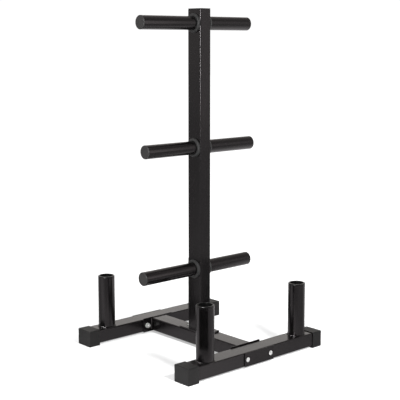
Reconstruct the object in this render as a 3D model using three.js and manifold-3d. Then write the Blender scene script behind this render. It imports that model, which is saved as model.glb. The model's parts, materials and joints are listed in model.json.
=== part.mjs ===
// Plate tree: a free-standing rack for disc weights, with four upright tubes for bars.
// Millimetres, +Z up. Origin on the floor, under the axis of the post.
// X runs along the pegs and the two legs, Y runs along the cross beam.
import * as THREE from 'three';
import { mergeVertices } from 'three/addons/utils/BufferGeometryUtils.js';
import Module from 'manifold-3d';

const wasm = await Module();
wasm.setup();

// ---------- driving dimensions ----------
const GAP = 0.3;              // clearance between pieces that touch
const WALL = 2;               // wall of every steel tube
const TUBE_W = 70;            // wide side of the rectangular tube
const TUBE_H = 50;            // narrow side of the rectangular tube
const TUBE_R = 4;             // outer corner radius of the rectangular tube
const PLATE_T = 5;            // thickness of the foot plate
const JOIN_PLATE_T = 3;       // thickness of the plates on the legs

const LEG_Y = 281;            // leg axis from the post axis
const LEG_Z0 = 8;             // underside of the leg tubes
const LEG_HALF = 327;         // half length of a leg tube
const BEAM_Z0 = 9.5;          // underside of the cross beam

const BOOT_HALF_X = 332.5;    // outer end of a boot
const BOOT_LEN = 47;
const BOOT_WALL = 2.4;
const BOOT_R = 3.5;           // rounding of the long edges of a boot
const BOOT_END_R = 2.5;       // rounding round its closed end
const BOOT_MOUTH_GAP = 1.5;   // the mouth stands off the tube, the inner end fits it
const BOOT_FIT_LEN = 20;
const BOOT_TOP = LEG_Z0 + TUBE_H + GAP + 2.2;

const POST_TOP = 1256;
const CAP_TOP = 1260;
const FOOT_PLATE_LEN = 150;
const FOOT_BOLT_Y = 51;

const PEG_R = 25;             // pegs are 50 mm tubes
const PEG_LEN = 520;          // end to end, plugs included
const PEG_Z = { low: 298, mid: 753, top: 1207 };
const PEG_SHIFT = { low: -12, mid: 1, top: -17 };   // each tube sits a little off centre
const COLLAR_R = 35;
const COLLAR_T = 9;
const PLUG_T = 3.7;

const HOLDER_X = { left: -225, right: 233 };   // the holders stand a little off the middle of the legs
const HOLDER_R = 31.75;       // 63.5 mm tube
const HOLDER_TOP = 251;
const LINER_TOP = 254.5;
const LINER_BORE_R = 25.5;
const LINER_SKIRT = 20;
const LINER_EDGE_R = 2.5;     // rounding of the liner's flange

const JOIN_X = 57;            // leg bolts, either side of the beam
const JOIN_Z = 33;
const JOIN_PLATE_LEN = 145;
const INNER_PLATE_X = { near: 4, far: -3 };   // the plates sit a little off the middle
const OUTER_PLATE_X = { near: 1, far: 0 };
const INNER_PLATE_Z = [6.5, 62.5];
const OUTER_PLATE_Z = [8, 58];

const BOLT_R = 4.9;           // M10
const BOLT_HOLE_R = 5.5;
const HEX_AF = 16;
const HEAD_T = 6.4;           // hexagon heads, under the beam
const CUP_R = 8.3;            // low round heads, on the outer faces of the legs
const CUP_T = 2.6;
const NECK = 9.6;             // square neck under a round head
const NUT_T = 8;
const WASHER_R = 10;
const WASHER_T = 2;
const VENT_R = 3;

const SEG = 28;               // facets round a peg
const SEG_HOLDER = 28;
const SEG_SMALL = 20;

// ---------- solids ----------
function solid(geometry) {
  let g = geometry.clone();
  g.deleteAttribute('normal');
  g.deleteAttribute('uv');
  g = mergeVertices(g, 1e-4);
  const p = Float32Array.from(g.attributes.position.array);
  const all = g.index.array;
  const t = [];
  for (let i = 0; i < all.length; i += 3) {
    const [a, b, c] = [all[i], all[i + 1], all[i + 2]];
    if (a !== b && b !== c && a !== c) t.push(a, b, c);
  }
  let v = 0;
  for (let i = 0; i < t.length; i += 3) {
    const [a, b, c] = [t[i] * 3, t[i + 1] * 3, t[i + 2] * 3];
    v += p[a] * (p[b + 1] * p[c + 2] - p[b + 2] * p[c + 1])
       - p[a + 1] * (p[b] * p[c + 2] - p[b + 2] * p[c])
       + p[a + 2] * (p[b] * p[c + 1] - p[b + 1] * p[c]);
  }
  if (v < 0) for (let i = 0; i < t.length; i += 3) [t[i + 1], t[i + 2]] = [t[i + 2], t[i + 1]];
  return new wasm.Manifold(new wasm.Mesh({ numProp: 3, vertProperties: p, triVerts: Uint32Array.from(t) }));
}

function geometryOf(manifold) {
  const m = manifold.getMesh();
  const p = new Float32Array(m.numVert * 3);
  for (let i = 0; i < m.numVert; i++) for (let k = 0; k < 3; k++) p[i * 3 + k] = m.vertProperties[i * m.numProp + k];
  const g = new THREE.BufferGeometry();
  g.setAttribute('position', new THREE.BufferAttribute(p, 3));
  g.setIndex(new THREE.BufferAttribute(Uint32Array.from(m.triVerts), 1));
  g.computeVertexNormals();
  return g;
}

function roundedRect(w, h, r, steps = 4) {
  const s = new THREE.Shape();
  const pts = [];
  const corners = [[w / 2 - r, h / 2 - r, 0], [-w / 2 + r, h / 2 - r, 90], [-w / 2 + r, -h / 2 + r, 180], [w / 2 - r, -h / 2 + r, 270]];
  for (const [cx, cy, a0] of corners) {
    for (let i = 0; i <= steps; i++) {
      const a = THREE.MathUtils.degToRad(a0 + 90 * i / steps);
      pts.push(new THREE.Vector2(cx + r * Math.cos(a), cy + r * Math.sin(a)));
    }
  }
  s.setFromPoints(pts);
  return s;
}

function prism(shape, length, bevel = 0, bevelSteps = 1) {
  const g = bevel > 0
    ? new THREE.ExtrudeGeometry(shape, { depth: length - 2 * bevel, bevelEnabled: true, bevelThickness: bevel, bevelSize: bevel, bevelOffset: -bevel, bevelSegments: bevelSteps, curveSegments: 4 })
    : new THREE.ExtrudeGeometry(shape, { depth: length, bevelEnabled: false, curveSegments: 4 });
  if (bevel > 0) g.translate(0, 0, bevel);
  return g;                                   // from z = 0 to z = length
}

function lathe(points, segments) {
  const g = new THREE.LatheGeometry(points.map(([r, z]) => new THREE.Vector2(r, z)), segments);
  g.rotateX(Math.PI / 2);                     // the axis becomes +Z
  return g;
}

const along = {
  x: (g) => g.clone().rotateY(Math.PI / 2),   // +Z becomes +X
  minusX: (g) => g.clone().rotateY(-Math.PI / 2),
  y: (g) => g.clone().rotateX(-Math.PI / 2),  // +Z becomes +Y
  minusY: (g) => g.clone().rotateX(Math.PI / 2),
};

function rod(r, length, segments = SEG_SMALL) {   // a solid cylinder from z = 0 to z = length
  const g = new THREE.CylinderGeometry(r, r, length, segments);
  g.rotateX(Math.PI / 2);
  g.translate(0, 0, length / 2);
  return g;
}

function block(x0, x1, y0, y1, z0, z1) {
  const g = new THREE.BoxGeometry(x1 - x0, y1 - y0, z1 - z0);
  g.translate((x0 + x1) / 2, (y0 + y1) / 2, (z0 + z1) / 2);
  return g;
}

// a rectangular tube along +Z from z = 0, w across X and h across Y
function rectTube(w, h, length) {
  const outer = solid(prism(roundedRect(w, h, TUBE_R), length));
  const inner = solid(prism(roundedRect(w - 2 * WALL, h - 2 * WALL, TUBE_R - WALL, 2), length + 10).translate(0, 0, -5));
  return outer.subtract(inner);
}

// a flat plate lying in XZ, thickness along Y from y0
function wallPlate(length, z0, z1, x0, y0, holes, square) {
  const g = prism(roundedRect(length, z1 - z0, 2, 2), JOIN_PLATE_T, 0.6);
  g.rotateX(-Math.PI / 2);                    // +Z becomes +Y
  g.translate(x0, y0, (z0 + z1) / 2);
  let m = solid(g);
  const r = NECK / 2 + GAP;
  for (const x of holes) {
    const hole = square
      ? block(x - r, x + r, y0 - 2, y0 + JOIN_PLATE_T + 2, JOIN_Z - r, JOIN_Z + r)
      : along.y(rod(BOLT_HOLE_R, JOIN_PLATE_T + 4)).translate(x, y0 - 2, JOIN_Z);
    m = m.subtract(solid(hole));
  }
  return m;
}

function hexagon(af) {
  const r = af / 2 / Math.cos(Math.PI / 6);
  const s = new THREE.Shape();
  s.setFromPoints([0, 1, 2, 3, 4, 5].map((i) => new THREE.Vector2(r * Math.cos(i * Math.PI / 3), r * Math.sin(i * Math.PI / 3))));
  return s;
}

// hexagon bolt: head from z = 0 down to -HEAD_T, shank from z = 0 up to length
function bolt(length) {
  const corner = HEX_AF / 2 / Math.cos(Math.PI / 6);
  const hex = solid(prism(hexagon(HEX_AF), HEAD_T).translate(0, 0, -HEAD_T));
  const dome = solid(lathe([[0, 1], [corner + 1, 1], [corner + 1, -HEAD_T + 1.4], [HEX_AF / 2 - 0.6, -HEAD_T], [0, -HEAD_T]], 18));
  const shank = solid(lathe([[0, -1], [BOLT_R, -1], [BOLT_R, length - 1.2], [BOLT_R - 1, length], [0, length]], SEG_SMALL));
  return hex.intersect(dome).add(shank);
}

// coach bolt: low round head from z = 0 down to -CUP_T, square neck and shank from z = 0 up to length
function coachBolt(length) {
  const head = solid(lathe([[0, 0], [CUP_R, 0], [CUP_R, -0.7], [CUP_R - 0.5, -1.3], [CUP_R - 1.4, -1.8], [CUP_R - 2.8, -2.2], [CUP_R - 5, -2.5], [0, -CUP_T]], 28));
  const neck = solid(block(-NECK / 2, NECK / 2, -NECK / 2, NECK / 2, -0.5, GAP + JOIN_PLATE_T));
  const shank = solid(lathe([[0, -0.5], [BOLT_R, -0.5], [BOLT_R, length - 1.2], [BOLT_R - 1, length], [0, length]], SEG_SMALL));
  return head.add(neck).add(shank);
}

// hexagon nut from z = 0 to z = NUT_T
function nut() {
  const corner = HEX_AF / 2 / Math.cos(Math.PI / 6);
  const hex = solid(prism(hexagon(HEX_AF), NUT_T));
  const dome = solid(lathe([[0, 0], [HEX_AF / 2, 0], [corner + 0.6, 1.2], [corner + 0.6, NUT_T - 1.2], [HEX_AF / 2, NUT_T], [0, NUT_T]], 18));
  return hex.intersect(dome).subtract(solid(rod(BOLT_R + GAP, NUT_T + 4).translate(0, 0, -2)));
}

function washerGeometry() {
  return lathe([[BOLT_R + 0.4, 0], [WASHER_R, 0], [WASHER_R, WASHER_T], [BOLT_R + 0.4, WASHER_T], [BOLT_R + 0.4, 0]], 18);
}

// ---------- materials ----------
const steel = () => new THREE.MeshStandardMaterial({ color: 0x1b1b1c, roughness: 0.42, metalness: 0.25 });
const plastic = () => new THREE.MeshStandardMaterial({ color: 0x242424, roughness: 0.55, metalness: 0 });
const rubber = () => new THREE.MeshStandardMaterial({ color: 0x2b2b2a, roughness: 0.85, metalness: 0 });
const zinc = () => new THREE.MeshStandardMaterial({ color: 0xc9cccb, roughness: 0.3, metalness: 1 });

const tree = new THREE.Group();
function place(parent, name, manifoldOrGeometry, material) {
  const m = manifoldOrGeometry.isBufferGeometry ? solid(manifoldOrGeometry) : manifoldOrGeometry;
  const mesh = new THREE.Mesh(geometryOf(m), material);
  mesh.name = name;
  parent.add(mesh);
  return mesh;
}

// ---------- cross beam, along Y on the wide side ----------
const legInner = LEG_Y - TUBE_W / 2;
const legOuter = LEG_Y + TUBE_W / 2;
const innerPlate0 = legInner - GAP - JOIN_PLATE_T;                // beam side of the inner plate
const beamHalf = innerPlate0 - GAP;
const base = new THREE.Group();
tree.add(base);
{
  const g = rectTube(TUBE_W, TUBE_H, 2 * beamHalf);
  let beam = g.translate(0, 0, -beamHalf).rotate(-90, 0, 0).translate(0, 0, BEAM_Z0 + TUBE_H / 2);
  for (const s of [-1, 1]) {
    beam = beam.subtract(solid(rod(BOLT_HOLE_R, TUBE_H + 20).translate(0, s * FOOT_BOLT_Y, BEAM_Z0 - 10)));
    beam = beam.subtract(solid(rod(VENT_R, 8).translate(0, s * (beamHalf - 5), BEAM_Z0 + TUBE_H - 5)));
  }
  place(base, 'cross_beam', beam, steel());
}

// ---------- legs, along X on the wide side, with their plates, boots and bolts ----------
for (const [side, s] of [['near', -1], ['far', 1]]) {
  const leg = new THREE.Group();
  base.add(leg);
  let tube = rectTube(TUBE_H, TUBE_W, 2 * LEG_HALF).translate(0, 0, -LEG_HALF).rotate(0, 90, 0)
    .translate(0, s * LEG_Y, LEG_Z0 + TUBE_H / 2);
  for (const x of [-JOIN_X, JOIN_X]) {
    tube = tube.subtract(solid(along.y(rod(BOLT_HOLE_R, TUBE_W + 20)).translate(x, s * LEG_Y - TUBE_W / 2 - 10, JOIN_Z)));
  }
  place(leg, `leg_tube_${side}`, tube, steel());

  const inner0 = s > 0 ? innerPlate0 : -legInner + GAP;
  const outer0 = s > 0 ? legOuter + GAP : -legOuter - GAP - JOIN_PLATE_T;
  place(leg, `inner_plate_${side}`, wallPlate(JOIN_PLATE_LEN, ...INNER_PLATE_Z, INNER_PLATE_X[side], inner0, [-JOIN_X, JOIN_X], false), steel());
  place(leg, `outer_plate_${side}`, wallPlate(JOIN_PLATE_LEN, ...OUTER_PLATE_Z, OUTER_PLATE_X[side], outer0, [-JOIN_X, JOIN_X], true), steel());

  for (const [end, e] of [['left', -1], ['right', 1]]) {
    // rubber boot over the end of the tube
    const w = TUBE_W + 2 * (GAP + BOOT_WALL);
    const outer = prism(roundedRect(BOOT_TOP, w, BOOT_R, 4), BOOT_LEN + 10, BOOT_END_R, 3);
    outer.rotateY(Math.PI / 2);               // +Z becomes +X, the shape's X becomes -Z
    outer.translate(-10, 0, BOOT_TOP / 2);
    const hollow = (gap, depth) => {
      const g = prism(roundedRect(TUBE_H + 2 * gap, TUBE_W + 2 * gap, TUBE_R + gap - GAP, 3), depth + 10);
      g.rotateY(Math.PI / 2);
      g.translate(-10, 0, LEG_Z0 + TUBE_H / 2);
      return solid(g);
    };
    const fitEnd = BOOT_LEN - (BOOT_HALF_X - LEG_HALF - GAP);
    const body = solid(outer).intersect(solid(block(0, BOOT_LEN + 1, -w, w, -1, BOOT_TOP + 1)));   // the mouth is cut square
    let boot = body.subtract(hollow(GAP, fitEnd)).subtract(hollow(BOOT_MOUTH_GAP, fitEnd - BOOT_FIT_LEN));   // closed end at x = BOOT_LEN
    if (e < 0) boot = boot.mirror([1, 0, 0]).translate(-(BOOT_HALF_X - BOOT_LEN), s * LEG_Y, 0);
    else boot = boot.translate(BOOT_HALF_X - BOOT_LEN, s * LEG_Y, 0);
    place(leg, `boot_${side}_${end}`, boot, rubber());

    // upright tube that holds a bar, with its liner
    const holder = new THREE.Group();
    holder.position.set(HOLDER_X[end], s * LEG_Y, 0);
    leg.add(holder);
    const z0 = LEG_Z0 + TUBE_H + GAP;
    place(holder, `bar_holder_${side}_${end}`, lathe([
      [HOLDER_R - WALL, z0], [HOLDER_R, z0], [HOLDER_R, HOLDER_TOP], [HOLDER_R - WALL, HOLDER_TOP], [HOLDER_R - WALL, z0],
    ], SEG_HOLDER), steel());
    const f0 = HOLDER_TOP + GAP;
    const rs = HOLDER_R - WALL - GAP;
    const edge = [0, 30, 60, 90].map((a) => {
      const t = THREE.MathUtils.degToRad(a);
      return [HOLDER_R - LINER_EDGE_R + LINER_EDGE_R * Math.cos(t), LINER_TOP - LINER_EDGE_R + LINER_EDGE_R * Math.sin(t)];
    });
    place(holder, `holder_liner_${side}_${end}`, lathe([
      [LINER_BORE_R, f0 - LINER_SKIRT], [rs, f0 - LINER_SKIRT], [rs, f0], [HOLDER_R, f0], ...edge,
      [LINER_BORE_R + 0.7, LINER_TOP], [LINER_BORE_R, LINER_TOP - 0.7], [LINER_BORE_R, f0 - LINER_SKIRT],
    ], SEG_HOLDER), plastic());

    // bolt through outer plate, leg and inner plate, with washer and nut on the beam side
    const fastener = new THREE.Group();
    fastener.position.set(e * JOIN_X, 0, JOIN_Z);
    leg.add(fastener);
    const grip = 2 * JOIN_PLATE_T + TUBE_W + 4 * GAP;        // head to washer
    const inward = s > 0 ? along.minusY : along.y;
    const head = legOuter + 2 * GAP + JOIN_PLATE_T;
    const at = (d) => s * (head - d);                         // distance d inwards from under the head
    const b = coachBolt(grip + WASHER_T + GAP + NUT_T + 3);
    place(fastener, `leg_bolt_${side}_${end}`, s > 0 ? b.rotate(90, 0, 0).translate(0, at(0), 0) : b.rotate(-90, 0, 0).translate(0, at(0), 0), zinc());
    place(fastener, `leg_washer_${side}_${end}`, inward(washerGeometry()).translate(0, at(grip), 0), zinc());
    const n = nut();
    place(fastener, `leg_nut_${side}_${end}`, (s > 0 ? n.rotate(90, 0, 0) : n.rotate(-90, 0, 0)).translate(0, at(grip + WASHER_T + GAP), 0), zinc());
  }
}

// ---------- post on its foot plate, bolted down on the beam ----------
const beamTop = BEAM_Z0 + TUBE_H;
const plateZ = beamTop + GAP;
const postZ = plateZ + PLATE_T + GAP;
const upright = new THREE.Group();
tree.add(upright);
{
  const g = prism(roundedRect(TUBE_W, FOOT_PLATE_LEN, 2, 2), PLATE_T, 0.6).translate(0, 0, plateZ);
  let plate = solid(g);
  for (const s of [-1, 1]) plate = plate.subtract(solid(rod(BOLT_HOLE_R, PLATE_T + 4).translate(0, s * FOOT_BOLT_Y, plateZ - 2)));
  place(upright, 'foot_plate', plate, steel());

  // the tube's narrow side faces the legs' direction, so its wide sides carry the pegs
  let post = rectTube(TUBE_H, TUBE_W, POST_TOP - postZ).translate(0, 0, postZ);
  for (const z of Object.values(PEG_Z)) {
    post = post.subtract(solid(along.x(rod(PEG_R + GAP, TUBE_H + 20, SEG)).translate(-TUBE_H / 2 - 10, 0, z)));
  }
  place(upright, 'post', post, steel());

  const flange = solid(prism(roundedRect(TUBE_H, TUBE_W, TUBE_R), CAP_TOP - POST_TOP - GAP, 1.2, 2).translate(0, 0, POST_TOP + GAP));
  const skirtOuter = solid(prism(roundedRect(TUBE_H - 2 * WALL - 2 * GAP, TUBE_W - 2 * WALL - 2 * GAP, TUBE_R - WALL - GAP, 2), 16).translate(0, 0, POST_TOP - 14));
  const skirtInner = solid(block(-20, 20, -30, 30, POST_TOP - 20, POST_TOP + GAP));
  place(upright, 'post_cap', flange.add(skirtOuter.subtract(skirtInner)), plastic());

  for (const [end, s] of [['near', -1], ['far', 1]]) {
    const under = BEAM_Z0 - GAP;
    const washerZ = plateZ + PLATE_T + GAP;
    const nutZ = washerZ + WASHER_T + GAP;
    place(upright, `foot_bolt_${end}`, bolt(nutZ + NUT_T + 5 - under).translate(0, s * FOOT_BOLT_Y, under), zinc());
    place(upright, `foot_washer_${end}`, washerGeometry().translate(0, s * FOOT_BOLT_Y, washerZ), zinc());
    place(upright, `foot_nut_${end}`, nut().translate(0, s * FOOT_BOLT_Y, nutZ), zinc());
  }
}

// ---------- pegs: one tube per level straight through the post, a collar on each face, a plug in each end ----------
for (const level of ['low', 'mid', 'top']) {
  const set = new THREE.Group();
  set.position.set(0, 0, PEG_Z[level]);
  upright.add(set);
  const half = PEG_LEN / 2 - PLUG_T - GAP;
  const shift = PEG_SHIFT[level];
  place(set, `peg_tube_${level}`, along.x(lathe([
    [PEG_R - WALL, -half], [PEG_R, -half], [PEG_R, half], [PEG_R - WALL, half], [PEG_R - WALL, -half],
  ], SEG)).translate(shift, 0, 0), steel());

  for (const [end, e] of [['left', -1], ['right', 1]]) {
    const outward = e > 0 ? along.x : along.minusX;
    const rc = 5;                                             // rounded outer edge of the collar
    const arc = [0, 45, 90].map((a) => {
      const t = THREE.MathUtils.degToRad(a);
      return [COLLAR_R - rc + rc * Math.cos(t), COLLAR_T - rc + rc * Math.sin(t)];
    });
    place(set, `collar_${level}_${end}`, outward(lathe([
      [PEG_R + GAP, 0], [COLLAR_R, 0], ...arc, [PEG_R + GAP, COLLAR_T], [PEG_R + GAP, 0],
    ], SEG)).translate(e * (TUBE_H / 2 + GAP), 0, 0), plastic());

    const ri = PEG_R - WALL - GAP;
    place(set, `peg_plug_${level}_${end}`, outward(lathe([
      [0, 0], [ri - 2, 0], [ri - 2, -12], [ri, -12], [ri, 0], [PEG_R, 0], [PEG_R, PLUG_T - 1.6], [PEG_R - 1.6, PLUG_T], [0, PLUG_T],
    ], SEG)).translate(shift + e * (PEG_LEN / 2 - PLUG_T), 0, 0), plastic());
  }
}

export default tree;
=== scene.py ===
import bpy, bmesh, json, math
from mathutils import Vector, Matrix

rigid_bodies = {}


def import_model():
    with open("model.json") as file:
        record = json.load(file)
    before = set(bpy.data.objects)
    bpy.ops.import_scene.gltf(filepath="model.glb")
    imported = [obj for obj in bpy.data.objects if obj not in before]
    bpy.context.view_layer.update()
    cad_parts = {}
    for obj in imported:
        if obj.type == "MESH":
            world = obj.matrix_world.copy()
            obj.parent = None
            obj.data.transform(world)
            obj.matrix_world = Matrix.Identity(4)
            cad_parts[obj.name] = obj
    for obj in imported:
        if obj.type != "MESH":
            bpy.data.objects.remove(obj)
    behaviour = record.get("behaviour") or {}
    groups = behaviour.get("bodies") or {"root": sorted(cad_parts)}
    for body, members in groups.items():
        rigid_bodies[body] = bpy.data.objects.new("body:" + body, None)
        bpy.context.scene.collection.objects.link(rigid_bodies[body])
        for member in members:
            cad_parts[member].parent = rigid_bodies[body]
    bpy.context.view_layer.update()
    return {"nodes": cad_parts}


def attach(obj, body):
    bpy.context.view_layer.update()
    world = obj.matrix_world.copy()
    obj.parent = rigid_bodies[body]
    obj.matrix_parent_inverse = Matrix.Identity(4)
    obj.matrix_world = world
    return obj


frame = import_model()
N = frame["nodes"]
MM = 0.001

# ------------------------------------------------------------------ dimensions (mm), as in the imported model
LEG_Y, HOLDER_R = 281.0, 31.75
HOLDER_X = {"left": -225.0, "right": 233.0}
LEG_TOP, BEAM_TOP, BEAM_BOTTOM = 58.0, 59.5, 9.5
BEAM_END = 242.4
FOOT_PLATE_TOP = 64.8

# ------------------------------------------------------------------ studio levels
DOME = 1.0                    # even light from all round
FLOOR_PAPER = 0.33            # the floor's own grey
# a painted glow in the floor that the camera sees: faint at the rack and stronger away from it, so it paints out the
# floor's shadows
FLOOR_PAINTED_GLOW = [(0.0, 0.45), (0.125, 0.45), (0.165, 0.6), (0.22, 0.76), (0.5, 0.82), (1.0, 0.82)]     # over 3 m: its shadows fade away from the rack
# the floor as the gloss sees it: painted pools of light, an emission in the floor, to the left and right of the rack,
# dimmer towards the camera.
# degrees from +X towards +Y, level
FLOOR_PAINTED_POOLS = [(0, 1.0), (15, 0.95), (45, 0.85), (90, 0.6), (125, 0.34), (137, 0.36), (150, 0.75), (163, 0.95), (178, 0.75),
               (192, 0.5), (210, 0.4), (240, 0.4), (265, 0.5), (287, 0.55), (302, 0.42), (313, 0.38), (323, 0.6), (334, 0.85),
               (346, 1.0), (360, 1.0)]
# close round the base the gloss sees the real floor, soft shadows and all, at these greys, painted per direction and
# darker between 275 and 325 degrees: a painted reflection
FLOOR_CLOSE_PAINTED_GREYS = [(0, 0.27), (140, 0.26), (245, 0.24), (275, 0.19), (304, 0.16), (325, 0.17), (345, 0.25), (360, 0.27)]
# painted dimming of the glowing pools, deepest about 4 m out
FLOOR_PAINTED_POOL_FADE = [(0.0, 1.0), (0.04, 1.0), (0.13, 0.75), (0.4, 0.85), (1.0, 1.0)]      # over 30 m
FLOOR_REACH = [(0.0, 0.0), (0.42, 0.0), (0.7, 1.0)]               # metres from the post
WALL = [(0.0, (0.094, 0.09, 0.091)), (0.25, (0.235, 0.225, 0.224)), (0.5, (0.44, 0.424, 0.42)), (0.75, (0.71, 0.68, 0.655)),
        (1.0, (1.0, 0.965, 0.93))]
CEILING = [(0.0, (1, 1, 1)), (0.32, (0.9, 0.9, 0.9)), (0.52, (0.52, 0.51, 0.51)), (0.75, (0.46, 0.45, 0.45)), (1.0, (0.3, 0.3, 0.3))]


# ------------------------------------------------------------------ node helpers
def new_material(name):
    m = bpy.data.materials.new(name)
    m.use_nodes = True
    t = m.node_tree
    for n in list(t.nodes):
        t.nodes.remove(n)
    out = t.nodes.new("ShaderNodeOutputMaterial")
    out.location = (600, 0)
    b = t.nodes.new("ShaderNodeBsdfPrincipled")
    b.location = (300, 0)
    t.links.new(b.outputs["BSDF"], out.inputs["Surface"])
    co = t.nodes.new("ShaderNodeTexCoord")
    co.location = (-1100, 0)
    return m, t, b, co.outputs["Object"]


def noise(t, coord, scale, detail=3.0, rough=0.5, stretch=None):
    if stretch:
        mp = t.nodes.new("ShaderNodeMapping")
        mp.inputs["Scale"].default_value = stretch
        t.links.new(coord, mp.inputs["Vector"])
        coord = mp.outputs["Vector"]
    n = t.nodes.new("ShaderNodeTexNoise")
    n.inputs["Scale"].default_value = scale
    n.inputs["Detail"].default_value = detail
    n.inputs["Roughness"].default_value = rough
    t.links.new(coord, n.inputs["Vector"])
    return n.outputs["Fac"]


def ramp(t, value, stops, interpolation="LINEAR"):
    r = t.nodes.new("ShaderNodeValToRGB")
    r.color_ramp.interpolation = interpolation
    e = r.color_ramp.elements
    while len(e) < len(stops):
        e.new(0.5)
    for el, (p, c) in zip(e, stops):
        el.position = p
        el.color = (*c, 1.0) if len(c) == 3 else c
    t.links.new(value, r.inputs["Fac"])
    return r.outputs["Color"]


def grey(v):
    return (v, v, v)


def span(t, value, lo, hi, a=0.3, b=0.7):
    m = t.nodes.new("ShaderNodeMapRange")
    m.inputs["From Min"].default_value = a
    m.inputs["From Max"].default_value = b
    m.inputs["To Min"].default_value = lo
    m.inputs["To Max"].default_value = hi
    t.links.new(value, m.inputs["Value"])
    return m.outputs["Result"]


def bump(t, height, strength, distance, under=None):
    b = t.nodes.new("ShaderNodeBump")
    b.inputs["Strength"].default_value = strength
    b.inputs["Distance"].default_value = distance
    t.links.new(height, b.inputs["Height"])
    if under is not None:
        t.links.new(under, b.inputs["Normal"])
    return b.outputs["Normal"]


# ------------------------------------------------------------------ materials
def powder_coat(name, base=0.0042, rough=(0.19, 0.24), peel=0.12, specular=0.5):
    """Black powder coat: a fine orange peel under a semi-gloss skin, with faint clouding."""
    m, t, b, co = new_material(name)
    cloud = noise(t, co, 9.0, 4.0, 0.55)
    fine = noise(t, co, 420.0, 2.0, 0.5)
    grain = noise(t, co, 1500.0, 1.0, 0.5)
    col = ramp(t, cloud, [(0.3, (base * 0.86, base * 0.78, base * 0.8)), (0.7, (base * 1.4, base * 1.24, base * 1.28))])
    t.links.new(col, b.inputs["Base Color"])
    t.links.new(span(t, cloud, rough[0], rough[1]), b.inputs["Roughness"])
    b.inputs["Specular IOR Level"].default_value = specular
    b.inputs["Specular Tint"].default_value = (1.0, 0.945, 0.965, 1.0)
    n1 = bump(t, fine, peel, 0.0006)
    n2 = bump(t, grain, peel * 0.5, 0.0002, n1)
    t.links.new(n2, b.inputs["Normal"])
    return m


def moulded_plastic(name, base=0.034, rough=(0.5, 0.6), grain_scale=900.0, grain=0.25, warm=1.0):
    """Moulded plastic: a fine spark-eroded grain and slight flow clouding."""
    m, t, b, co = new_material(name)
    cloud = noise(t, co, 26.0, 3.0, 0.5)
    fine = noise(t, co, grain_scale, 2.0, 0.6)
    col = ramp(t, cloud, [(0.3, (base * 0.85 * warm, base * 0.85, base * 0.85)), (0.7, (base * 1.15 * warm, base * 1.15, base * 1.14))])
    t.links.new(col, b.inputs["Base Color"])
    t.links.new(span(t, fine, rough[0], rough[1]), b.inputs["Roughness"])
    t.links.new(bump(t, fine, grain, 0.0003), b.inputs["Normal"])
    return m


def rubber(name, base=0.0085):
    """Matte rubber with a pebbled skin."""
    m, t, b, co = new_material(name)
    cloud = noise(t, co, 18.0, 4.0, 0.6)
    v = t.nodes.new("ShaderNodeTexVoronoi")
    v.inputs["Scale"].default_value = 520.0
    t.links.new(co, v.inputs["Vector"])
    fine = noise(t, co, 1100.0, 2.0, 0.6)
    col = ramp(t, cloud, [(0.28, (base * 0.8, base * 0.8, base * 0.79)), (0.72, (base * 1.25, base * 1.24, base * 1.22))])
    t.links.new(col, b.inputs["Base Color"])
    t.links.new(span(t, fine, 0.5, 0.62), b.inputs["Roughness"])
    n1 = bump(t, v.outputs["Distance"], 0.3, 0.0003)
    t.links.new(bump(t, fine, 0.2, 0.0002, n1), b.inputs["Normal"])
    return m


def zinc(name, metallic=0.4, tone=0.95, green=1.0):
    """Bright zinc plate with faint passivation tints and a drawn grain."""
    m, t, b, co = new_material(name)
    cloud = noise(t, co, 160.0, 3.0, 0.6)
    fine = noise(t, co, 1400.0, 2.0, 0.5)
    col = ramp(t, cloud, [(0.25, (0.82 * tone, 0.83 * tone * green, 0.84 * tone)), (0.55, (0.90 * tone, 0.90 * tone * green, 0.88 * tone)),
                         (0.8, (0.85 * tone, 0.87 * tone * green, 0.89 * tone))])
    t.links.new(col, b.inputs["Base Color"])
    b.inputs["Metallic"].default_value = metallic
    t.links.new(span(t, fine, 0.18, 0.28), b.inputs["Roughness"])
    t.links.new(bump(t, fine, 0.10, 0.0002), b.inputs["Normal"])
    return m


MAT = {
    "frame_black": powder_coat("powder_coat_black"),
    "trim_black": moulded_plastic("moulded_plastic_black"),
    "boot_rubber": rubber("boot_rubber_black"),
    "zinc": zinc("zinc_plate"),
}
MAT["tube_black"] = powder_coat("powder_coat_tube", rough=(0.15, 0.2), peel=0.08)
MAT["weld"] = powder_coat("powder_coat_weld", rough=(0.14, 0.2), peel=0.08)
# a lighter, rougher copy of the powder coat for the upright welds at the beam ends: the lighter colour is a painted
# highlight
MAT["weld_upright_painted_highlight"] = powder_coat("powder_coat_weld_upright", base=0.02, rough=(0.3, 0.4), peel=0.2)
MAT["plate"] = powder_coat("powder_coat_plate", specular=0.4)
MAT["plug"] = moulded_plastic("moulded_plug_black", base=0.031, warm=1.07)
MAT["nut"] = zinc("zinc_nut", metallic=0.7, tone=1.0, green=1.02)
MAT["liner"] = moulded_plastic("moulded_liner_black", base=0.008, rough=(0.24, 0.32), grain=0.12)


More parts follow.
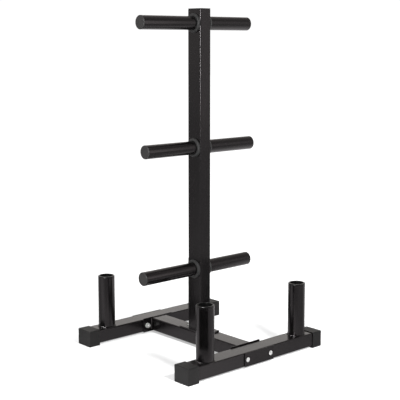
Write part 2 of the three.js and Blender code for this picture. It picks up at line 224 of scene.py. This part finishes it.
# ------------------------------------------------------------------ carried-over nodes: clean shading, small radii, materials
def clean_group():
    g = bpy.data.node_groups.new("clean_shading", "GeometryNodeTree")
    g.interface.new_socket("Geometry", in_out="INPUT", socket_type="NodeSocketGeometry")
    g.interface.new_socket("Geometry", in_out="OUTPUT", socket_type="NodeSocketGeometry")
    gi, go = g.nodes.new("NodeGroupInput"), g.nodes.new("NodeGroupOutput")
    rm = g.nodes.new("GeometryNodeRemoveAttribute")
    rm.inputs["Name"].default_value = "custom_normal"
    mg = g.nodes.new("GeometryNodeMergeByDistance")
    mg.inputs["Distance"].default_value = 0.00002
    s1 = g.nodes.new("GeometryNodeSetShadeSmooth")
    s1.domain = "FACE"
    s1.inputs["Shade Smooth"].default_value = True
    ang = g.nodes.new("GeometryNodeInputMeshEdgeAngle")
    cmp = g.nodes.new("FunctionNodeCompare")
    cmp.data_type = "FLOAT"
    cmp.operation = "GREATER_THAN"
    cmp.inputs[1].default_value = math.radians(34)
    s2 = g.nodes.new("GeometryNodeSetShadeSmooth")
    s2.domain = "EDGE"
    s2.inputs["Shade Smooth"].default_value = False
    L = g.links.new
    L(gi.outputs[0], rm.inputs["Geometry"])
    L(rm.outputs["Geometry"], mg.inputs["Geometry"])
    L(mg.outputs["Geometry"], s1.inputs["Geometry"])
    L(s1.outputs["Geometry"], s2.inputs["Geometry"])
    L(ang.outputs["Unsigned Angle"], cmp.inputs[0])
    L(cmp.outputs["Result"], s2.inputs["Selection"])
    L(s2.outputs["Geometry"], go.inputs[0])
    return g


CLEAN = clean_group()


def dress(node, material, radius=0.0, segments=2):
    o = N[node]
    o.data.materials.clear()
    o.data.materials.append(material)
    m = o.modifiers.new("clean", "NODES")
    m.node_group = CLEAN
    if radius:
        d = o.modifiers.new("flats", "DECIMATE")
        d.decimate_type = "DISSOLVE"
        d.angle_limit = math.radians(0.6)
        b = o.modifiers.new("radius", "BEVEL")
        b.limit_method = "ANGLE"
        b.angle_limit = math.radians(34)
        b.width = radius * MM
        b.segments = segments
        b.use_clamp_overlap = True
    w = o.modifiers.new("normals", "WEIGHTED_NORMAL")
    w.keep_sharp = not radius
    w.mode = "FACE_AREA"
    w.weight = 100
    return o


for n in N:
    if n.startswith(("leg_tube", "cross_beam", "post")) and n != "post_cap":
        dress(n, MAT["frame_black"])
    elif n.startswith(("inner_plate", "outer_plate", "foot_plate")):
        dress(n, MAT["plate"], 0.4)
    elif n.startswith(("peg_tube", "bar_holder")):
        dress(n, MAT["tube_black"])
    elif n.startswith("holder_liner"):
        dress(n, MAT["liner"], 0.3)
    elif n.startswith("peg_plug"):
        dress(n, MAT["plug"], 0.9, 3)
    elif n.startswith(("collar", "post_cap")):
        dress(n, MAT["trim_black"], 0.5)
    elif n.startswith("boot"):
        dress(n, MAT["boot_rubber"], 0.6)
    elif "_nut_" in n or "_washer_" in n:
        dress(n, MAT["nut"], 0.25, 1)
    else:
        dress(n, MAT["zinc"], 0.25, 1)


# ------------------------------------------------------------------ weld beads
def mesh_object(name, bm, material, smooth=True):
    me = bpy.data.meshes.new(name)
    bmesh.ops.recalc_face_normals(bm, faces=bm.faces)
    bm.to_mesh(me)
    bm.free()
    for p in me.polygons:
        p.use_smooth = smooth
    me.materials.append(material)
    o = bpy.data.objects.new(name, me)
    bpy.context.scene.collection.objects.link(o)
    return o


def bead(name, path, normals, closed, radius, pitch=4.4, seed=0.0, sides=14, skin="weld"):
    """A weld bead along path (mm). normals gives, for each point, the direction from the joint's corner out to the
    bead's crown. The crown carries overlapping half-moon ripples at the given pitch."""
    bm = bmesh.new()
    n = len(path)
    dist = [0.0]
    for a, b in zip(path, path[1:]):
        dist.append(dist[-1] + (b - a).length)
    rows = []
    for i, p in enumerate(path):
        if closed:
            t = (path[(i + 1) % n] - path[i - 1]).normalized()
        else:
            t = (path[min(i + 1, n - 1)] - path[max(i - 1, 0)]).normalized()
        u = normals[i].normalized()
        w = t.cross(u).normalized()
        end = 1.0
        if not closed:                      # the bead starts and stops in a rounded nose
            d = min(dist[i], dist[-1] - dist[i])
            end = math.sqrt(max(0.0, 1 - (1 - min(d / (radius * 1.1), 1)) ** 2)) * 0.98 + 0.02
        wander = 1 + 0.06 * math.sin(dist[i] * 0.21 + seed) + 0.05 * math.sin(dist[i] * 0.57 + seed * 2.3)
        row = []
        for k in range(sides):
            a = 2 * math.pi * k / sides
            side, up = math.sin(a), math.cos(a)
            phase = (dist[i] - 0.9 * pitch * side * side) / pitch + 0.13 * math.sin(dist[i] * 0.33 + seed)
            f = phase - math.floor(phase)
            ripple = (0.20 * math.sqrt(max(0.0, 1 - (2 * f - 1) ** 2)) - 0.08) * max(up, 0.0)
            r = radius * end * wander * (1 + ripple)
            q = p + w * (side * r * 1.12) + u * (up * r * (0.86 if up > 0 else 0.6))
            row.append(bm.verts.new(q * MM))
        rows.append(row)
    last = n if closed else n - 1
    for i in range(last):
        a, b = rows[i], rows[(i + 1) % n]
        for k in range(sides):
            bm.faces.new((a[k], a[(k + 1) % sides], b[(k + 1) % sides], b[k]))
    if not closed:
        for row, flip in ((rows[0], True), (rows[-1], False)):
            bm.faces.new(row if flip else row[::-1])
    o = mesh_object(name, bm, MAT[skin])
    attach(o, "root")
    return o


def line(a, b, step=0.55):
    a, b = Vector(a), Vector(b)
    n = max(2, int((b - a).length / step))
    return [a.lerp(b, i / n) for i in range(n + 1)]


for side, sy in (("near", -1), ("far", 1)):
    for end, sx in (("left", -1), ("right", 1)):
        pts, nrm = [], []
        steps = 380
        for i in range(steps):
            a = 2 * math.pi * i / steps
            c, s = math.cos(a), math.sin(a)
            drop = max(0.0, abs(s) * (HOLDER_R + 1.5) - 30.0)     # the leg's rounded edge falls away here
            drop = 5 - math.sqrt(max(0.0, 25 - min(drop, 5) ** 2))
            pts.append(Vector((HOLDER_X[end] + c * (HOLDER_R + 0.6), sy * LEG_Y + s * (HOLDER_R + 0.6), LEG_TOP + 0.6 - drop * 0.7)))
            nrm.append(Vector((c, s, 0.9)))
        bead(f"weld_holder_{side}_{end}", pts, nrm, True, 2.5, seed=1.7 * sx + 2.9 * sy)
    for sx, end in ((-1, "left"), (1, "right")):
        y = sy * (BEAM_END - 0.2)
        pts = line((sx * 35.6, y, BEAM_BOTTOM + 3.5), (sx * 35.6, y, BEAM_TOP - 3.5))
        # these upright beads wear the lighter copy of the powder coat, a painted highlight
        bead(f"weld_beam_side_{side}_{end}", pts, [Vector((sx, -sy, 0))] * len(pts), False, 2.6, seed=3.1 * sx + sy, skin="weld_upright_painted_highlight")
    for z, lab, dz in ((BEAM_TOP + 0.5, "top", 1),):
        pts = line((-31, sy * (BEAM_END - 0.2), z), (31, sy * (BEAM_END - 0.2), z))
        bead(f"weld_beam_{lab}_{side}", pts, [Vector((0, -sy, dz))] * len(pts), False, 2.3, seed=0.6 + sy)
for lab, a, b, nv in (
    ("left", (-25.4, -31, FOOT_PLATE_TOP + 0.4), (-25.4, 31, FOOT_PLATE_TOP + 0.4), (-1, 0, 1)),
    ("right", (25.4, -31, FOOT_PLATE_TOP + 0.4), (25.4, 31, FOOT_PLATE_TOP + 0.4), (1, 0, 1)),
    ("near", (-21, -35.4, FOOT_PLATE_TOP + 0.4), (21, -35.4, FOOT_PLATE_TOP + 0.4), (0, -1, 1)),
    ("far", (-21, 35.4, FOOT_PLATE_TOP + 0.4), (21, 35.4, FOOT_PLATE_TOP + 0.4), (0, 1, 1)),
):
    pts = line(a, b)
    bead(f"weld_post_{lab}", pts, [Vector(nv)] * len(pts), False, 2.4, seed=len(lab))

# ------------------------------------------------------------------ stage: floor, light, camera
scene = bpy.context.scene
scene.view_settings.view_transform = "Standard"
scene.view_settings.look = "None"
scene.view_settings.exposure = 0.0
scene.view_settings.gamma = 1.0


def math_node(t, op, a, b=None, clamp=False):
    n = t.nodes.new("ShaderNodeMath")
    n.operation = op
    n.use_clamp = clamp
    for i, v in enumerate((a, b)):
        if v is None:
            continue
        if isinstance(v, (int, float)):
            n.inputs[i].default_value = v
        else:
            t.links.new(v, n.inputs[i])
    return n.outputs[0]


def vector_node(t, op, a, b):
    n = t.nodes.new("ShaderNodeVectorMath")
    n.operation = op
    t.links.new(a, n.inputs[0])
    if isinstance(b, tuple):
        n.inputs[1].default_value = b
    else:
        t.links.new(b, n.inputs[1])
    return n.outputs["Value"] if op in ("DOT_PRODUCT", "LENGTH", "DISTANCE") else n.outputs["Vector"]


# the floor: pale; as reflections see it, painted pools of light glowing in the floor, brightest round the object,
# falling off towards the dark end of the studio, and close round the base the floor in painted greys. The camera sees
# the paper with a painted glow added, faint at the rack and stronger away from it.
bm = bmesh.new()
bmesh.ops.create_circle(bm, cap_ends=True, segments=96, radius=30.0)
floor_mesh = bpy.data.meshes.new("floor")
bm.to_mesh(floor_mesh)
bm.free()
floor = bpy.data.objects.new("floor", floor_mesh)
scene.collection.objects.link(floor)
fm = bpy.data.materials.new("floor_pale")
fm.use_nodes = True
ft = fm.node_tree
for n in list(ft.nodes):
    ft.nodes.remove(n)
fo = ft.nodes.new("ShaderNodeOutputMaterial")
paper = ft.nodes.new("ShaderNodeBsdfDiffuse")
paper.inputs["Color"].default_value = (FLOOR_PAPER, FLOOR_PAPER, FLOOR_PAPER, 1)
# painted glow added to the floor for camera rays, faint at the rack and stronger further out
painted_glow = ft.nodes.new("ShaderNodeEmission")
painted_glow.inputs["Strength"].default_value = 1.0
both = ft.nodes.new("ShaderNodeAddShader")
ft.links.new(paper.outputs[0], both.inputs[0])
ft.links.new(painted_glow.outputs[0], both.inputs[1])
fco = ft.nodes.new("ShaderNodeTexCoord").outputs["Object"]
fxyz = ft.nodes.new("ShaderNodeSeparateXYZ")
ft.links.new(fco, fxyz.inputs[0])
turn = math_node(ft, "FRACT", math_node(ft, "ADD", math_node(ft, "DIVIDE", math_node(ft, "ARCTAN2", fxyz.outputs["Y"], fxyz.outputs["X"]), 2 * math.pi), 1.0))
pools = ramp(ft, turn, [(a / 360, (v, v * 0.975, v * 0.985)) for a, v in FLOOR_PAINTED_POOLS])
away = vector_node(ft, "LENGTH", fco, fco)
ft.links.new(ramp(ft, math_node(ft, "DIVIDE", away, 3.0), [(d, grey(v)) for d, v in FLOOR_PAINTED_GLOW]), painted_glow.inputs["Color"])
far = ramp(ft, math_node(ft, "DIVIDE", away, 30.0), [(d, grey(v)) for d, v in FLOOR_PAINTED_POOL_FADE])
reach = ramp(ft, away, [(d, grey(v)) for d, v in FLOOR_REACH], "EASE")
pooled = ft.nodes.new("ShaderNodeMix")
pooled.data_type = "RGBA"
pooled.blend_type = "MULTIPLY"
pooled.inputs[0].default_value = 1.0
ft.links.new(pools, pooled.inputs[6])
ft.links.new(far, pooled.inputs[7])
# the painted pools of light: an emission in the floor that only reflections see
pool = ft.nodes.new("ShaderNodeEmission")
pool.inputs["Strength"].default_value = 1.0
ft.links.new(pooled.outputs[2], pool.inputs["Color"])
# the floor close round the base as reflections see it, in greys painted per direction
close = ft.nodes.new("ShaderNodeBsdfDiffuse")
ft.links.new(ramp(ft, turn, [(a / 360, (v, v * 0.965, v * 0.98)) for a, v in FLOOR_CLOSE_PAINTED_GREYS]), close.inputs["Color"])
mirrored = ft.nodes.new("ShaderNodeMixShader")
ft.links.new(reach, mirrored.inputs[0])
ft.links.new(close.outputs[0], mirrored.inputs[1])
ft.links.new(pool.outputs[0], mirrored.inputs[2])
flp = ft.nodes.new("ShaderNodeLightPath")
fmix = ft.nodes.new("ShaderNodeMixShader")
fsel = ft.nodes.new("ShaderNodeMixShader")
ft.links.new(flp.outputs["Is Glossy Ray"], fsel.inputs[0])
ft.links.new(paper.outputs[0], fsel.inputs[1])
ft.links.new(mirrored.outputs[0], fsel.inputs[2])
ft.links.new(flp.outputs["Is Camera Ray"], fmix.inputs[0])
ft.links.new(fsel.outputs[0], fmix.inputs[1])
ft.links.new(both.outputs[0], fmix.inputs[2])
ft.links.new(fmix.outputs[0], fo.inputs["Surface"])
floor_mesh.materials.append(fm)

# the studio round it: a bright back wall, darker sides, a dark end behind the camera, a dim ceiling
world = bpy.data.worlds.new("studio")
scene.world = world
world.use_nodes = True
wt = world.node_tree
for n in list(wt.nodes):
    wt.nodes.remove(n)
wo = wt.nodes.new("ShaderNodeOutputWorld")
wdir = wt.nodes.new("ShaderNodeTexCoord").outputs["Generated"]
facing = vector_node(wt, "DOT_PRODUCT", wdir, (0.666, 0.746, 0.0))
wall = ramp(wt, math_node(wt, "ADD", math_node(wt, "MULTIPLY", facing, 0.5), 0.5), WALL)
up = wt.nodes.new("ShaderNodeSeparateXYZ")
wt.links.new(wdir, up.inputs[0])
high = ramp(wt, math_node(wt, "ABSOLUTE", up.outputs["Z"]), CEILING)
room = wt.nodes.new("ShaderNodeMix")
room.data_type = "RGBA"
room.blend_type = "MULTIPLY"
room.inputs[0].default_value = 1.0
wt.links.new(wall, room.inputs[6])
wt.links.new(high, room.inputs[7])
seen = wt.nodes.new("ShaderNodeBackground")
seen.inputs["Color"].default_value = (1, 1, 1, 1)
seen.inputs["Strength"].default_value = 1.05
glossy = wt.nodes.new("ShaderNodeBackground")
wt.links.new(room.outputs[2], glossy.inputs["Color"])
glossy.inputs["Strength"].default_value = 1.09
soft = wt.nodes.new("ShaderNodeBackground")
soft.inputs["Color"].default_value = (1, 1, 1, 1)
soft.inputs["Strength"].default_value = DOME
lp = wt.nodes.new("ShaderNodeLightPath")
m1 = wt.nodes.new("ShaderNodeMixShader")
m2 = wt.nodes.new("ShaderNodeMixShader")
wt.links.new(lp.outputs["Is Glossy Ray"], m1.inputs[0])
wt.links.new(soft.outputs[0], m1.inputs[1])
wt.links.new(glossy.outputs[0], m1.inputs[2])
wt.links.new(lp.outputs["Is Camera Ray"], m2.inputs[0])
wt.links.new(m1.outputs[0], m2.inputs[1])
wt.links.new(seen.outputs[0], m2.inputs[2])
wt.links.new(m2.outputs[0], wo.inputs["Surface"])


def area(name, where, at, size, size_y, power, gloss=True, color=(1, 1, 1)):
    l = bpy.data.lights.new(name, "AREA")
    l.shape = "RECTANGLE"
    l.size, l.size_y, l.energy, l.color = size, size_y, power, color
    o = bpy.data.objects.new(name, l)
    o.visible_glossy = gloss
    scene.collection.objects.link(o)
    o.location = where
    o.rotation_euler = (Vector(at) - Vector(where)).to_track_quat("-Z", "Y").to_euler()
    o.visible_camera = False
    return o


def flag(name, centre, radius, start, stop, low, high):
    """A curved black card that only reflections see, painting a dark reflection: an upright strip round centre, start
    and stop in degrees.
    """
    bm = bmesh.new()
    steps = 24
    rows = []
    for i in range(steps + 1):
        a = math.radians(start + (stop - start) * i / steps)
        x, y = centre[0] + radius * math.cos(a), centre[1] + radius * math.sin(a)
        rows.append((bm.verts.new((x, y, low)), bm.verts.new((x, y, high))))
    for (a0, a1), (b0, b1) in zip(rows, rows[1:]):
        bm.faces.new((a0, b0, b1, a1))
    me = bpy.data.meshes.new(name)
    bm.to_mesh(me)
    bm.free()
    o = bpy.data.objects.new(name, me)
    scene.collection.objects.link(o)
    o.visible_camera = o.visible_diffuse = o.visible_shadow = o.visible_transmission = False
    c = bpy.data.materials.new(name)
    c.use_nodes = True
    c.node_tree.nodes["Principled BSDF"].inputs["Base Color"].default_value = (0.005, 0.005, 0.005, 1)
    c.node_tree.nodes["Principled BSDF"].inputs["Specular IOR Level"].default_value = 0.0
    me.materials.append(c)
    return o


area("overhead", (0.0, 0.2, 3.4), (0, 0, 0), 3.2, 3.2, 60, gloss=False)
front = area("front_left", (-0.31, -1.8, 1.36), (0, 0, 0.1), 0.42, 0.42, 135, gloss=False)
ground = bpy.data.collections.new("ground")                 # this one lights the floor only, for its soft shadows
ground.objects.link(floor)
front.light_linking.receiver_collection = ground
area("softbox_right", (1.55, -1.85, 1.4), (0, 0, 1.35), 0.95, 1.6, 0.85, color=(1.0, 0.93, 0.94))
area("softbox_right_end", (1.28, -2.1, 1.3), (-0.2, 0, 1.25), 0.5, 1.9, 2.5, color=(1.0, 0.93, 0.92))
strip = area("strip_left", (-2.13, -0.86, 1.38), (0, 0, 1.3), 0.5, 1.1, 72)
strip.visible_diffuse = False
# it shows as a thin highlight down the front corner of the post and on the rims of the upper plugs
spark = area("spark", (-1.24, 0.84, 2.05), (-0.2, -0.25, 0.1), 0.5, 0.5, 60)
spark.visible_diffuse = False
welds = bpy.data.collections.new("welds")                   # this one only puts glints on the weld beads
for o in scene.collection.objects:
    if o.name.startswith("weld_"):
        welds.objects.link(o)
spark.light_linking.receiver_collection = welds
# a painted dark reflection down the middle of the near-left holder
flag("dark_reflection_flag", (-0.225, -0.281), 0.13, 158, 262, 0.072, 0.225)

cam = bpy.data.cameras.new("camera")
camera = bpy.data.objects.new("camera", cam)
scene.collection.objects.link(camera)
scene.camera = camera
F_PIXELS, FRAME_PIXELS = 973.5, 400.0
yaw, pitch = math.radians(41.906), math.radians(7.167)
cam.sensor_width = 36.0
cam.lens = F_PIXELS * 36.0 / FRAME_PIXELS
cam.shift_x, cam.shift_y = 0.0, -0.09
cam.clip_end = 100.0
camera.location = (-2.3888, -2.6659, 1.1404)
aim = Vector((math.sin(yaw) * math.cos(pitch), math.cos(yaw) * math.cos(pitch), -math.sin(pitch)))
camera.rotation_euler = aim.to_track_quat("-Z", "Y").to_euler()
